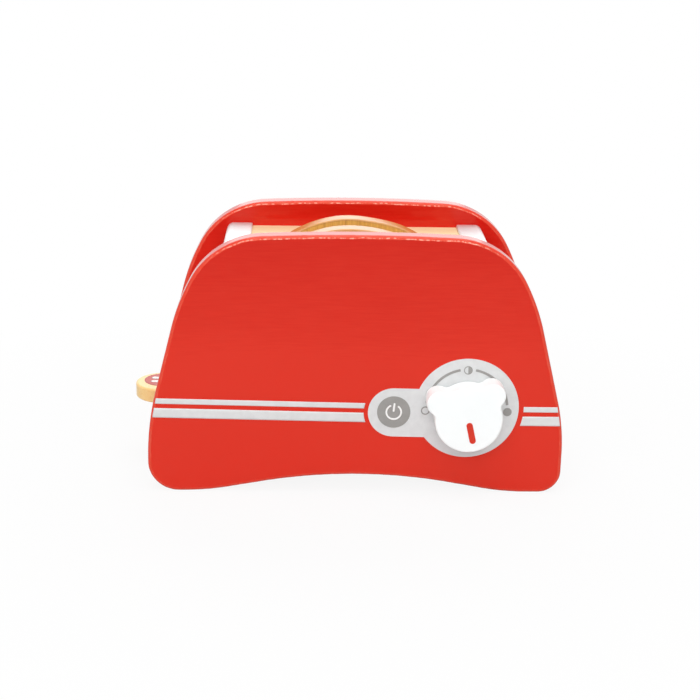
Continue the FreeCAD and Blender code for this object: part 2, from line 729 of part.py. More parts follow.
# ---- write ---------------------------------------------------------------------------
def save(name, shapes):
    if not isinstance(shapes, list):
        shapes = [shapes]
    solids = []
    for shape in shapes:
        solids.extend(shape.Solids)
    for solid in solids:
        assert solid.isValid() and solid.Volume > 0, name
    out = solids[0] if len(solids) == 1 else Part.makeCompound(solids)
    out = out.copy()
    out.translate(V(-MIDDLE_X, -MIDDLE_Y, 0))
    out.exportStep("parts/" + name + ".step")
    b = out.BoundBox
    print("%-20s %2d solids  X %.1f..%.1f  Y %.1f..%.1f  Z %.1f..%.1f" % (
        name, len(solids), b.XMin, b.XMax, b.YMin, b.YMax, b.ZMin, b.ZMax))


os.makedirs("parts", exist_ok=True)
save("front_panel", panel(FACE_Y).cut(axle_bore()))
save("rear_panel", panel(INNER_Y))
save("left_end_wall", end_wall(-1))
save("right_end_wall", end_wall(1))
save("slot_deck", deck())
save("bottom_board", bottom_board())
save("panel_dowels", panel_dowels(-1) + panel_dowels(1))
save("deck_dowels", deck_dowels())
save("bottom_screws", bottom_screws(True))
save("guide_rods", guide_rods())
save("lift_board", lift_board())
save("lever_handle", lever_handle())
save("lever_screws", lever_screws(True))
save("lever_badge", badge_disc())
save("lever_badge_bars", badge_bars())
save("front_bread_slice", bread_slice(-1))
save("rear_bread_slice", bread_slice(1))
save("knob", knob())
save("knob_pointer", knob_pointer())
save("knob_axle", knob_axle())
save("knob_washer", knob_washer())
save("knob_screw", knob_screw())
save("control_print", control_print())
save("power_button_print", power_print())
save("power_symbol_print", symbol_print())
save("dial_scale_print", scale_print())
save("left_stripe_prints", stripe_prints(-1))
save("right_stripe_prints", stripe_prints(1))
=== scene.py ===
import math
import bpy
import numpy as np
from mathutils import Matrix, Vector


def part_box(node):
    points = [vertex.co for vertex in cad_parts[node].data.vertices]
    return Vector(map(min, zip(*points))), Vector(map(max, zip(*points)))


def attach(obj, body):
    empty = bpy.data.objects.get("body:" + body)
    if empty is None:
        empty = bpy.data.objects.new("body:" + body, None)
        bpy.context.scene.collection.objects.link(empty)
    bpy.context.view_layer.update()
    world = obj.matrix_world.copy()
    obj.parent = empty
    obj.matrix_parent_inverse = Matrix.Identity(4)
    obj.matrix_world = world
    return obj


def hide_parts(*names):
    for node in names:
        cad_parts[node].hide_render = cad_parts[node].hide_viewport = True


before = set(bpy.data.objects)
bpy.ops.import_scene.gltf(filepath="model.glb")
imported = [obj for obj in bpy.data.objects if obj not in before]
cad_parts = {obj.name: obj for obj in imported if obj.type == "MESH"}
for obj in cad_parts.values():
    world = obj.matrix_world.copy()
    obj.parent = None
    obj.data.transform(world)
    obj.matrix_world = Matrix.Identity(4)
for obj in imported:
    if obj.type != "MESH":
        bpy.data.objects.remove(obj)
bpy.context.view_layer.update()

scene = bpy.context.scene

# ---- side panels ---------------------------------------------------------------------
# Two boards of 12 mm wood with one curved outline. They are sawn, sanded round at the
# edges and sprayed with glossy red lacquer. Hidden dowels join them to the end walls.
MM = 0.001
X_AXIS, Y_AXIS, Z_AXIS = np.eye(3)
HOUSING_MIDDLE = 0.5 * (np.array(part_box("front_panel")[0]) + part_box("rear_panel")[1])
HOUSING_MIDDLE[2] = 0.0


def box(node):
    """Lowest and highest corner of a node, measured from the housing's middle."""
    return [np.array(corner) - HOUSING_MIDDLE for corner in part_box(node)]


PANEL_ROUND = 2.2 * MM
PANEL_HEIGHT = box("front_panel")[1][2]
PANEL_HALF = [  # x, z and corner radius in mm, from the crown down to the arch
    (0.0, 154.20, 1180.0), (82.31, 150.50, 47.5), (102.02, 111.04, 124.0),
    (119.91, 40.09, 184.0), (119.91, 0.0, 14.9), (86.44, 0.0, 143.4), (0.0, 15.46, 309.3)]
FLARE, FOOT = 3, 4  # corners of PANEL_HALF that hand sanding leaves a little unequal
SANDED_RIGHT = {FLARE: 130.0, FOOT: 13.0}
SANDED_LEFT = {FLARE: 175.0, FOOT: 17.5}
OUTLINE_STEP = 0.8  # mm between points
SANDING_WAVES = (31, 53, 74, 97, 131, 170)  # how often each wave runs round the outline
SANDING_SHARE = 0.15  # of the edge's radius
QUARTER_TURN = np.linspace(0, math.pi / 2, 12)  # the rows of points over a rounded edge
FACE_RINGS = np.array([0.12, 0.27, 0.42, 0.56, 0.69, 0.80, 0.88, 0.94, 0.975, 0.993, 0.999])
SIDE_ROWS = np.array([0.04, 0.5, 0.96])


def mm(*sizes):
    """Sizes given in mm, as an array in metres."""
    return np.array(sizes) * MM


def polar(angle, reach=1.0):
    """Points at their angles, reach away from the origin."""
    return np.stack([np.cos(angle) * reach, np.sin(angle) * reach], -1)


def heading(way):
    """The angle in which a flat vector points."""
    return math.atan2(way[1], way[0])


def unit(vectors):
    """The same directions at length 1."""
    return vectors / np.linalg.norm(vectors, axis=-1, keepdims=True)


def rounded_outline(corners, spacing):
    """Closed outline through (x, z, radius) corners, run anticlockwise.

    Each corner is an arc whose centre lies on the corner's bisector, radius / sin(half
    angle) away, and straight runs join the arcs.
    """
    data = np.array(corners, float)
    corner, radius = data[:, :2], data[:, 2]
    back = unit(np.roll(corner, 1, 0) - corner)
    ahead = unit(np.roll(corner, -1, 0) - corner)
    half = np.arccos(np.clip((back * ahead).sum(1), -1, 1)) / 2
    cut = (radius / np.tan(half))[:, None]
    start, end = corner + back * cut, corner + ahead * cut
    centre = corner + unit(back + ahead) * (radius / np.sin(half))[:, None]
    parts = []
    for i in range(len(data)):
        first = heading(start[i] - centre[i])
        sweep = (heading(end[i] - centre[i]) - first + math.pi) % (2 * math.pi) - math.pi
        count = max(3, int(abs(sweep) * radius[i] / spacing) + 1)
        parts.append(centre[i] + polar(first + sweep * np.linspace(0, 1, count), radius[i]))
        run = start[(i + 1) % len(data)] - end[i]
        steps = int(np.linalg.norm(run) / spacing) + 1
        parts.append(end[i] + run * np.linspace(0, 1, steps + 1)[1:-1, None])
    return np.concatenate(parts) * MM


def grid_quads(rows, cols, closed=False):
    """Faces between neighbouring points of a grid. closed joins the last column to the first."""
    j, i = np.meshgrid(np.arange(rows - 1), np.arange(cols if closed else cols - 1),
                       indexing="ij")
    k = (i + 1) % cols
    quads = np.stack([j * cols + i, j * cols + k, (j + 1) * cols + k, (j + 1) * cols + i], -1)
    return quads.reshape(-1, 4)


def slab(outline, low, high, edge, centre, along=Z_AXIS):
    """Closed board with rounded edges, as a grid of rings.

    u runs round the outline. v runs over the section: from the middle of the low face to
    its edge, a quarter circle, the side, a quarter circle, and in to the middle of the
    high face. A ring is the outline moved inwards along its normals, then drawn towards
    the centre, and it stands at its own depth along X x along. edge is the radius of the
    quarter circles, one number or one for each point of the outline.
    """
    centre = np.asarray(centre, float)
    edge = np.broadcast_to(np.asarray(edge, float), len(outline))[None]
    step = np.roll(outline, -1, 0) - np.roll(outline, 1, 0)
    normal = unit(np.stack([-step[:, 1], step[:, 0]], 1))
    flat, turn, side = 0 * FACE_RINGS[:, None], QUARTER_TURN[:, None], SIDE_ROWS[:, None]
    inward = np.concatenate([flat + edge, edge * (1 - np.sin(turn))])
    rise = np.concatenate([flat * edge, edge * (1 - np.cos(turn))])
    inset = np.concatenate([inward, 0 * side * edge, inward[::-1]])
    depth = np.concatenate([low + rise, low + edge + (high - low - 2 * edge) * side,
                            high - rise[::-1]])
    scale = np.concatenate([FACE_RINGS, np.ones(2 * len(turn) + len(side)), FACE_RINGS[::-1]])
    ring = outline[None] + normal[None] * inset[..., None]
    ring = centre + (ring - centre) * scale[:, None, None]
    out = np.cross(X_AXIS, along)
    grid = ring[..., :1] * X_AXIS + ring[..., 1:] * along + depth[..., None] * out
    poles = centre[0] * X_AXIS + centre[1] * along + np.array([[low], [high]]) * out
    rows, cols = grid.shape[:2]
    i = np.arange(cols)
    k = np.roll(i, -1)
    last = (rows - 1) * cols
    low_fan = np.stack([np.full(cols, rows * cols), k, i], 1)
    high_fan = np.stack([np.full(cols, rows * cols + 1), last + i, last + k], 1)
    faces = grid_quads(rows, cols, True).tolist() + low_fan.tolist() + high_fan.tolist()
    return np.concatenate([grid.reshape(-1, 3), poles]), faces


def add_mesh(name, points, faces, finish):
    """A smooth-shaded mesh with one finish. Its points count from the housing's middle."""
    mesh = bpy.data.meshes.new(name)
    mesh.from_pydata((points + HOUSING_MIDDLE).tolist(), [], faces)
    mesh.polygons.foreach_set("use_smooth", np.ones(len(mesh.polygons), bool))
    mesh.materials.append(finish)
    piece = bpy.data.objects.new(name, mesh)
    scene.collection.objects.link(piece)
    return piece


def add_piece(name, shape, finish, body, node=None):
    """A piece from its points and faces. It moves with body and stands for node, if given."""
    piece = add_mesh(name, *shape, finish)
    if node:
        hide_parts(node)
    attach(piece, body)
    return piece


def mark_points(piece, name, values):
    """Keeps a number at each point of a piece, for its finish to read."""
    piece.data.attributes.new(name, "FLOAT", "POINT").data.foreach_set("value", values)


def feed(value, socket):
    """Links another node's output into a socket, or sets the socket to a number or colour."""
    if isinstance(value, bpy.types.NodeSocket):
        socket.id_data.links.new(value, socket)
    else:
        socket.default_value = (*value, 1) if socket.type == "RGBA" else value


def new_node(owner, kind, inputs=None, **choices):
    """A shader node of a finish or of the sky, with its choices made and its inputs fed."""
    node = owner.node_tree.nodes.new("ShaderNode" + kind)
    for name, choice in choices.items():
        setattr(node, name, choice)
    for name, value in (inputs or {}).items():
        feed(value, node.inputs[name])
    return node


def new_finish(name, colour, roughness, specular=0.5):
    """A material with its plain values set on the shader's own sockets."""
    finish = bpy.data.materials.new(name)
    finish.use_nodes = True
    shader = finish.node_tree.nodes["Principled BSDF"]
    feed(colour, shader.inputs["Base Color"])
    feed(roughness, shader.inputs["Roughness"])
    feed(specular, shader.inputs["Specular IOR Level"])
    return finish, shader


def spot(finish):
    """The place of each spot of the surface, in the piece's own coordinates."""
    return new_node(finish, "TexCoord").outputs["Object"]


def spot_height(finish):
    """How high each spot lies, in metres."""
    return new_node(finish, "SeparateXYZ", {"Vector": spot(finish)}).outputs["Z"]


def point_value(finish, name):
    """The number that mark_points kept under this name."""
    return new_node(finish, "Attribute", attribute_name=name).outputs["Fac"]


def noise(finish, grain, detail=3.0, rough=0.5):
    """Noise with grain features to the metre, one number or one each along X, Y and Z."""
    place = new_node(finish, "Mapping", {"Vector": spot(finish), "Scale": np.full(3, grain, float)})
    inputs = {"Vector": place.outputs[0], "Scale": 1.0, "Detail": detail, "Roughness": rough}
    return new_node(finish, "TexNoise", inputs).outputs["Fac"]


def ramp(finish, factor, stops):
    """Colours along factor. stops is a list of (place, (r, g, b))."""
    node = new_node(finish, "ValToRGB", {"Fac": factor})
    band = node.color_ramp.elements
    while len(band) < len(stops):
        band.new(0.5)
    for element, (place, colour) in zip(band, stops):
        element.position = place
        element.color = (*colour, 1)
    return node.outputs["Color"]


def mix(finish, factor, first, second):
    """first where factor is 0 and second where it is 1."""
    inputs = {"Factor": factor, "A": first, "B": second}
    return new_node(finish, "Mix", inputs, data_type="RGBA").outputs["Result"]


def combine(finish, operation, *values):
    """One sum at each spot. MULTIPLY_ADD is the first value times the second, plus the third."""
    return new_node(finish, "Math", dict(enumerate(values)), operation=operation).outputs[0]


def map_range(finish, value, low, high, to_low, to_high):
    """value from low..high to to_low..to_high, held at the ends."""
    inputs = {"Value": value, "From Min": low, "From Max": high, "To Min": to_low,
              "To Max": to_high}
    return new_node(finish, "MapRange", inputs).outputs["Result"]


def bump(finish, shader, height, distance, strength=0.5):
    """Fine relief from a height, distance metres deep at strength 1."""
    inputs = {"Strength": strength, "Distance": distance, "Height": height}
    feed(new_node(finish, "Bump", inputs).outputs["Normal"], shader.inputs["Normal"])


BLACK, WHITE = (0, 0, 0), (1, 1, 1)
# The deep red is that of the darker clouds and of the painted shade towards the top.
LACQUER_DEEP = (0.580, 0.0075, 0.0045)
LACQUER_LIGHT = (0.690, 0.0270, 0.0155)
# Painted highlight on the rounded edges: a lighter band, and near-white dashes on the crown.
LACQUER_EDGE_HIGHLIGHT = (0.730, 0.054, 0.030)
LACQUER_HIGHLIGHT_DASH = (0.980, 0.490, 0.390)
SHADE_PAINTED_FROM, SHADE_PAINTED_MOST_AT = 50.0 * MM, 150.0 * MM  # heights between which the red is painted darker, as painted shade towards the top
# Heights over which the painted highlight dashes grow on the crown.
HIGHLIGHT_DASH_FROM, HIGHLIGHT_DASH_MOST_AT = 139.0 * MM, 149.0 * MM


def red_lacquer():
    """Gloss lacquer, painted darker towards the top as painted shade, with faint clouds and wood
    grain. On the rounded edges it carries a lighter band of painted highlight, with small facets, and
    on the crown dashes of painted highlight."""
    finish, shader = new_finish("red_lacquer_gloss", LACQUER_LIGHT, 0.1, 0.30)
    feed((1.0, 0.80, 0.55), shader.inputs["Specular Tint"])
    height = spot_height(finish)
    # Painted shade: the red is painted darker towards the top of the panels.
    shade_and_clouds = map_range(finish, height, SHADE_PAINTED_FROM, SHADE_PAINTED_MOST_AT, 0.82, 0.18)
    for grain, detail, depth in (((5, 24, 26), 5.0, 0.35), ((60, 700, 900), 3.0, 0.40)):
        uneven = noise(finish, grain, detail, 0.6)
        shade_and_clouds = combine(finish, "MULTIPLY_ADD", uneven, depth, shade_and_clouds)
    face = ramp(finish, shade_and_clouds, [(0.45, LACQUER_DEEP), (1.0, LACQUER_LIGHT)])
    turn = point_value(finish, "edge_turn")
    # Painted highlight: a lighter band over the rounded edges, where the lamps' highlight runs.
    highlight_band = ramp(finish, turn, [(0.03, BLACK), (0.10, WHITE), (0.70, (0.8, 0.8, 0.8)),
                               (0.95, BLACK)])
    rim = mix(finish, highlight_band, face, LACQUER_EDGE_HIGHLIGHT)
    sway = combine(finish, "MULTIPLY_ADD", noise(finish, (90, 0, 90), 2.0), 0.5, turn)
    # Painted highlight: broken near-white dashes on the crown's rounded edges, standing in for the
    # lamps' glints.
    highlight_marks = ramp(finish, sway, [(0.38, BLACK), (0.45, WHITE), (0.53, WHITE), (0.62, BLACK)])
    highlight_dashes = map_range(finish, noise(finish, (420, 300, 120), 2.0, 0.6), 0.46, 0.60, 0.0, 0.85)
    crown = map_range(finish, height, HIGHLIGHT_DASH_FROM, HIGHLIGHT_DASH_MOST_AT, 0.10, 1.0)
    for share in (highlight_dashes, crown, highlight_band):
        highlight_marks = combine(finish, "MULTIPLY", highlight_marks, share)
    feed(mix(finish, highlight_marks, rim, LACQUER_HIGHLIGHT_DASH), shader.inputs["Base Color"])
    gloss = map_range(finish, noise(finish, (40, 160, 120)), 0.35, 0.7, 0.07, 0.13)
    feed(gloss, shader.inputs["Roughness"])
    peel = noise(finish, (260, 420, 420), 2.0)
    facets = combine(finish, "MULTIPLY", highlight_band, noise(finish, (210, 420, 300), 3.0, 0.6))
    relief = combine(finish, "MULTIPLY_ADD", facets, 5.0, peel)
    bump(finish, shader, relief, 0.05 * MM, 0.6)
    return finish


def sanding_waves(draw, run):
    """Unevenness of a hand-sanded edge, within -1 and 1: the mean of sine waves round the
    outline, each with a drawn height and start."""
    waves = [draw.uniform(0.5, 1.0) * np.sin(n * run + draw.uniform(0, 6.3))
             for n in SANDING_WAVES]
    return sum(waves) / len(waves)


lacquer = red_lacquer()
right_half = [(x, z, SANDED_RIGHT.get(i, r)) for i, (x, z, r) in enumerate(PANEL_HALF)]
left_half = [(-x, z, SANDED_LEFT.get(i, r)) for i, (x, z, r) in enumerate(PANEL_HALF)]
panel_outline = rounded_outline(right_half[::-1] + left_half[1:-1], OUTLINE_STEP)
panel_outline[:, 1] *= PANEL_HEIGHT / panel_outline[:, 1].max()
panel_run = np.arange(len(panel_outline)) / len(panel_outline) * 2 * math.pi
sanding_draw = np.random.default_rng(7)
for node in ("front_panel", "rear_panel"):
    low, high = box(node)
    edge = PANEL_ROUND * (1 + SANDING_SHARE * sanding_waves(sanding_draw, panel_run))
    shape = slab(panel_outline, -high[1], -low[1], edge, (0.0, 0.5 * PANEL_HEIGHT))
    panel = add_piece(node + "_board", shape, lacquer, "housing", node)
    depth = shape[0][:, 1]
    inside = np.minimum(depth - low[1], high[1] - depth)
    turn = np.arccos(1 - np.clip(inside / PANEL_ROUND, 0, 1)) / (0.5 * math.pi)
    mark_points(panel, "edge_turn", turn)

# ---- end walls -----------------------------------------------------------------------
# Two sloping boards painted satin white, glued and dowelled between the side panels.
# The left one has an upright slot in which the lever's neck slides.
WALL_THICK = 15.0 * MM
WALL_EASE_OUT = 3.2 * MM
WALL_EASE_IN = 1.3 * MM
WALL_INNER_TOP = 61.9 * MM
WALL_SLOPE = 0.252
WALL_SLOT_HALF = 12.6 * MM
WALL_SLOT_LOW = box("lever_handle")[0][2] - 0.3 * MM
WALL_SLOT_HIGH = box("lever_handle")[1][2] + 47.0 * MM
WALL_SLOT_EASE = 0.9 * MM


def white_paint():
    """Satin paint with a faint cloudy tone and fine marks that run upright. Its white carries a
    slight cool tint, painted in against the red light that the panels throw on it.
    """
    finish, shader = new_finish("white_paint_satin", (0.93, 0.97, 0.97), 0.38)
    tone = ramp(finish, noise(finish, (24, 60, 24)),
                [(0.3, (0.92, 0.96, 0.96)), (0.7, (0.94, 0.98, 0.98))])
    feed(tone, shader.inputs["Base Color"])
    bump(finish, shader, noise(finish, (320, 320, 96), 4.0), 0.08 * MM)
    return finish


def pierced_board(first, second, open_cells, place):
    """Board on a grid of lines, left open in some cells.

    first and second hold the lines' places and open_cells the (i, j) cells that are
    holes. place(a, b, side) gives the points of one side, 0 or 1, as an array. Every
    border between a solid cell and an open one gets a wall.
    """
    a, b = np.meshgrid(first, second, indexing="ij")
    points = np.concatenate([place(a, b, 0).reshape(-1, 3), place(a, b, 1).reshape(-1, 3)])
    rows, cols = len(first), len(second)
    top = rows * cols
    solid = {(i, j) for i in range(rows - 1) for j in range(cols - 1)} - set(open_cells)
    faces = []
    for i, j in sorted(solid):
        p, q = i * cols + j, (i + 1) * cols + j
        r, s = q + 1, p + 1
        faces.append([p, s, r, q])
        faces.append([top + p, top + q, top + r, top + s])
        for beside, m, n in (((i, j - 1), p, q), ((i + 1, j), q, r), ((i, j + 1), r, s),
                             ((i - 1, j), s, p)):
            if beside not in solid:
                faces.append([m, n, top + n, top + m])
    used = sorted({v for face in faces for v in face})
    renumber = {v: n for n, v in enumerate(used)}
    return points[used], [[renumber[v] for v in face] for face in faces]


def ease_edges(piece, width_of):
    """Rounds each edge by width_of(start, end) metres with a bevel, faces kept flat."""
    mesh = piece.data
    ends = np.array([[mesh.vertices[v].co for v in edge.vertices] for edge in mesh.edges])
    widths = np.array([width_of(start, end) for start, end in ends - HOUSING_MIDDLE])
    weights = mesh.attributes.new("bevel_weight_edge", "FLOAT", "EDGE")
    weights.data.foreach_set("value", widths / widths.max())
    bevel = piece.modifiers.new("eased_edges", "BEVEL")
    bevel.limit_method = "WEIGHT"
    bevel.width = widths.max()
    bevel.segments = 5
    bevel.harden_normals = True


def round_fall(over, radius):
    """How far a rounded edge has fallen back, over metres past where its quarter circle
    starts: the circle's sagitta."""
    return radius - np.sqrt(radius ** 2 - np.clip(over, 0, radius) ** 2)


def wall_place(hand, top):
    """The place function of one wall. Its sides lean outwards on their way down, and fall
    back at the rounded top corners."""
    def place(y, z, side):
        """Points of one side, 0 or 1, at some levels."""
        outside = side if hand > 0 else 1 - side
        reach = WALL_INNER_TOP + WALL_SLOPE * (top - z) + WALL_THICK * outside
        radius = WALL_EASE_OUT if outside else WALL_EASE_IN
        fall = round_fall(z - (top - radius), radius)
        return np.stack([hand * (reach - fall if outside else reach + fall), y, z], -1)
    return place


def wall_slot_ease(start, end):
    """Eases the edges round the lever's slot and no other."""
    beside = max(abs(start[1]), abs(end[1])) < WALL_SLOT_HALF + MM
    level = WALL_SLOT_LOW - MM < start[2] < WALL_SLOT_HIGH + MM
    return WALL_SLOT_EASE if beside and level else 0.0


wall_finish = white_paint()
for hand, node in ((-1, "left_end_wall"), (1, "right_end_wall")):
    low, high = box(node)
    corner_levels = high[2] - WALL_EASE_OUT * (1 - np.sin(QUARTER_TURN))
    y_lines, z_lines, openings = [low[1], high[1]], [low[2], *corner_levels], []
    if hand < 0:
        y_lines[1:1] = [-WALL_SLOT_HALF, WALL_SLOT_HALF]
        z_lines[1:1] = [WALL_SLOT_LOW, WALL_SLOT_HIGH]
        openings = [(1, 1)]
    shape = pierced_board(y_lines, z_lines, openings, wall_place(hand, high[2]))
    wall = add_piece(node + "_board", shape, wall_finish, "housing", node)
    if openings:
        ease_edges(wall, wall_slot_ease)

# ---- slot deck -----------------------------------------------------------------------
# One board of clear-varnished pale wood between the end walls, a little lower than their
# tops. Two slots are routed through it for the bread slices.
WOOD_PALE = (0.900, 0.735, 0.440)
WOOD_WARM = (0.840, 0.640, 0.350)
WOOD_LINE = (0.640, 0.390, 0.160)
DECK_SLOT_LEFT, DECK_SLOT_RIGHT = -54.0 * MM, 52.0 * MM
DECK_SLOT_NEAR, DECK_SLOT_FAR = 5.5 * MM, 19.5 * MM
DECK_SLOT_EASE, DECK_RIM_EASE = 1.0 * MM, 0.25 * MM


def wood_finish(name, grain, pale=WOOD_PALE, warm=WOOD_WARM, roughness=0.45):
    """Pale wood: broad bands, fine fibres and short dark pores. grain holds the fibres to
    the metre along X, Y and Z, few along their run."""
    finish, shader = new_finish(name, pale, roughness, 0.45)
    grain = np.array(grain, float)
    fibres = noise(finish, grain, 4.0, 0.65)
    tone = ramp(finish, noise(finish, grain * 0.16, 3.0, 0.55), [(0.32, warm), (0.62, pale)])
    fine = ramp(finish, fibres, [(0.34, warm), (0.56, pale)])
    pores = map_range(finish, noise(finish, grain * 2.6, 2.0), 0.62, 0.74, 0.0, 0.55)
    body = mix(finish, 0.55, tone, fine)
    feed(mix(finish, pores, body, WOOD_LINE), shader.inputs["Base Color"])
    bump(finish, shader, fibres, 0.10 * MM)
    return finish


deck_wood = wood_finish("deck_wood", (45, 900, 900), (0.85, 0.695, 0.425), (0.795, 0.605, 0.335))
deck_low, deck_high = box("slot_deck")
deck_reach = (deck_high[0], deck_high[0] - WALL_SLOPE * (deck_high[2] - deck_low[2]))


def deck_place(x, y, side):
    """Points of the deck's underside, 0, or top, 1. Its ends lean with the end walls."""
    end = (x < DECK_SLOT_LEFT - MM) | (x > DECK_SLOT_RIGHT + MM)
    level = (deck_low[2], deck_high[2])[side]
    return np.stack([np.where(end, np.sign(x) * deck_reach[side], x), y,
                     np.full_like(x, level)], -1)


def deck_ease(start, end):
    """Rounds the slots' edges well and breaks the outer ones only a little."""
    inside = max(abs(start[0]), abs(end[0])) < MM - DECK_SLOT_LEFT
    across = max(abs(start[1]), abs(end[1])) < DECK_SLOT_FAR + MM
    return DECK_SLOT_EASE if inside and across else DECK_RIM_EASE


deck_x_lines = [-deck_reach[0], DECK_SLOT_LEFT, DECK_SLOT_RIGHT, deck_reach[0]]
deck_y_lines = [deck_low[1], -DECK_SLOT_FAR, -DECK_SLOT_NEAR, DECK_SLOT_NEAR, DECK_SLOT_FAR,
                deck_high[1]]
shape = pierced_board(deck_x_lines, deck_y_lines, [(1, 1), (1, 3)], deck_place)
deck = add_piece("slot_deck_board", shape, deck_wood, "housing", "slot_deck")
ease_edges(deck, deck_ease)

# ---- bottom board, guide rods and joining dowels -------------------------------------
# A plywood board closes the housing from below, held by four countersunk screws. Two
# beech rods stand in it and guide the lift. The dowels that join the boards are hidden.
PLY_PALE, PLY_SHADE, PLY_GLUE = (0.80, 0.60, 0.35), (0.62, 0.42, 0.21), (0.40, 0.24, 0.11)


def birch_plywood():
    """Long fibres on the two faces, and pale and dark layers round the edge."""
    finish, shader = new_finish("birch_plywood", WOOD_PALE, 0.55, 0.3)
    face = ramp(finish, noise(finish, (14, 260, 0), 4.0, 0.6), [(0.3, PLY_SHADE), (0.66, PLY_PALE)])
    layers = new_node(finish, "TexWave", {"Vector": spot(finish), "Scale": 98.0,
                                          "Distortion": 0.3}, bands_direction="Z")
    edge = ramp(finish, layers.outputs["Fac"], [(0.35, PLY_GLUE), (0.6, PLY_PALE)])
    height = spot_height(finish)
    low, high = (corner[2] for corner in box("bottom_board"))
    under = map_range(finish, height, low + 0.1 * MM, low + 0.3 * MM, 1, 0)
    over = map_range(finish, height, high - 0.3 * MM, high - 0.1 * MM, 0, 1)
    on_face = combine(finish, "MAXIMUM", under, over)
    feed(mix(finish, on_face, edge, face), shader.inputs["Base Color"])
    bump(finish, shader, noise(finish, (40, 600, 0)), 0.10 * MM)
    return finish


def dress(node, finish):
    """Gives a carried-over node its finish."""
    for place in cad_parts[node].material_slots:
        place.material = finish


dress("bottom_board", birch_plywood())
dowel_wood = wood_finish("beech_dowel", (700, 700, 50), (0.78, 0.55, 0.31), (0.68, 0.44, 0.22))
for node in ("guide_rods", "panel_dowels", "deck_dowels"):
    dress(node, dowel_wood)

# ---- screws and the knob's fixing ----------------------------------------------------
# Zinc-plated steel: countersunk wood screws with a cross recess under the bottom board and
# under the lift, and a washer and a pan-head screw that hold the knob's wooden axle.


def zinc_plate():
    """Bright plating with a faint uneven tone and gloss."""
    finish, shader = new_finish("zinc_plated_steel", (0.62, 0.61, 0.58), 0.34)
    feed(1.0, shader.inputs["Metallic"])
    tone = ramp(finish, noise(finish, 420), [(0.3, (0.50, 0.49, 0.46)), (0.7, (0.70, 0.69, 0.66))])
    feed(tone, shader.inputs["Base Color"])
    gloss = map_range(finish, noise(finish, 900, 2.0), 0.3, 0.7, 0.25, 0.45)
    feed(gloss, shader.inputs["Roughness"])
    return finish


zinc = zinc_plate()
for node in ("bottom_screws", "lever_screws", "knob_washer", "knob_screw"):
    dress(node, zinc)
dress("knob_axle", dowel_wood)

# ---- lift board ----------------------------------------------------------------------
# A plain board of pale wood inside the housing, bored for the two guide rods. The bread
# slices stand on it, and the lever is screwed to its underside.
dress("lift_board", wood_finish("lift_wood", (50, 1000, 1000)))

# ---- lever ---------------------------------------------------------------------------
# A flat wooden handle with a round end, sanded smooth and varnished clear. Its neck runs
# through the slot of the left end wall. The round end carries a printed badge.
LEVER_DISC = mm(-114.8, 0.0)
LEVER_RADIUS = 16.3 * MM
LEVER_NECK_HALF = 12.0 * MM
LEVER_NECK_END = -22.0 * MM
LEVER_EDGE = 1.2 * MM


def lever_outline():
    """The round end's circle up to where the neck meets it, then the neck's three sides."""
    neck = LEVER_NECK_END - LEVER_DISC[0]
    join = math.asin(LEVER_NECK_HALF / LEVER_RADIUS)
    side_x = np.linspace(LEVER_RADIUS * math.cos(join), neck, 50)[1:]
    end_y = np.linspace(-LEVER_NECK_HALF, LEVER_NECK_HALF, 14)[1:-1]
    lower = np.stack([side_x, np.full_like(side_x, -LEVER_NECK_HALF)], 1)
    end = np.stack([np.full_like(end_y, neck), end_y], 1)
    upper = lower[::-1] * (1, -1)
    disc = polar(np.linspace(join, 2 * math.pi - join, 150), LEVER_RADIUS)
    return LEVER_DISC + np.concatenate([disc, lower, end, upper])


lever_low, lever_high = box("lever_handle")
lever_wood = wood_finish("lever_wood", (1000, 60, 1000), (0.96, 0.665, 0.29), (0.90, 0.57, 0.195),
                         roughness=0.28)
shape = slab(lever_outline(), lever_low[2], lever_high[2], LEVER_EDGE, LEVER_DISC, Y_AXIS)
add_piece("lever_handle_turned", shape, lever_wood, "lift", "lever_handle")

# ---- lever badge ---------------------------------------------------------------------
# Printed on the lever's round end: a red disc with a darker line round it and two white
# bars with a thin grey line round each.
BADGE = LEVER_DISC + mm(0.3, 2.0)
BADGE_RADIUS, BADGE_LINE = 11.8 * MM, 0.7 * MM
BAR_HALVES = mm(7.5, 1.75)  # half its length and half its width
BAR_LINE, BAR_OFFSET = 0.3 * MM, 3.2 * MM
BADGE_LAYER = 0.06 * MM
INK_EDGE = 0.02 * MM
FULL_TURN = np.linspace(0, 2 * math.pi, 161)[:-1]


def plain_print(name, colour, roughness=0.42, specular=0.4):
    """Flat ink with a faint uneven tone and a slightly broken gloss."""
    finish, shader = new_finish(name, colour, roughness, specular)
    speck = noise(finish, 260)
    darker = tuple(0.94 * c for c in colour)
    feed(ramp(finish, speck, [(0.35, darker), (0.65, colour)]), shader.inputs["Base Color"])
    gloss = map_range(finish, speck, 0.3, 0.7, roughness - 0.05, roughness + 0.06)
    feed(gloss, shader.inputs["Roughness"])
    return finish


def pill_outline(half_length, half_width, count=40):
    """Two half circles joined by straight sides, long along the first axis."""
    right = polar(np.linspace(-math.pi / 2, math.pi / 2, count), half_width)
    right[:, 0] += half_length - half_width
    return np.concatenate([right, -right])


